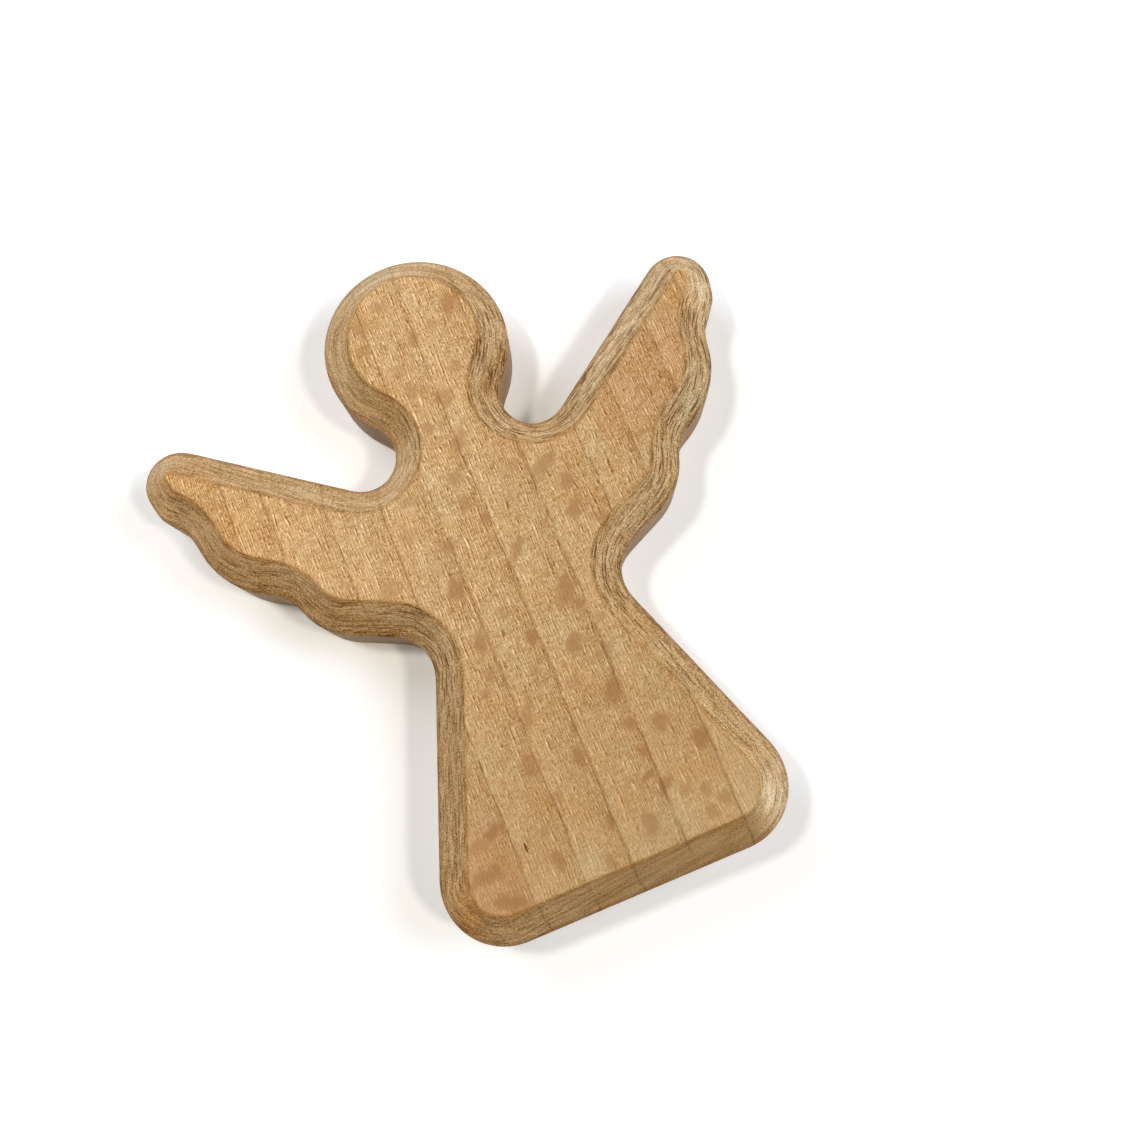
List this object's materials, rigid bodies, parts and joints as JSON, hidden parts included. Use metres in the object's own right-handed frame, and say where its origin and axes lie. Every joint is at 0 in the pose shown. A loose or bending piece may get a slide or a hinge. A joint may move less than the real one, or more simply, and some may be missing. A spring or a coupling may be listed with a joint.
{
  "type": "wooden angel figurine",
  "caption": "Flat solid beech angel figure with a plain round head, raised scalloped wings and a flared skirt, bevelled round its front edge. It lies flat or stands on its hem.",
  "frame": {"origin": "on the flat back face, at the middle of the figure's width and height", "axes": "+Z out of the bevelled front face, +Y from the hem toward the head, +X across the wings"},
  "size_m": [0.0722, 0.08, 0.011],
  "materials": {
    "beech": "bare beech, planed and sanded, matt"
  },
  "bodies": {
    "root": {"angel_body": "beech"}
  },
  "joints": []
}
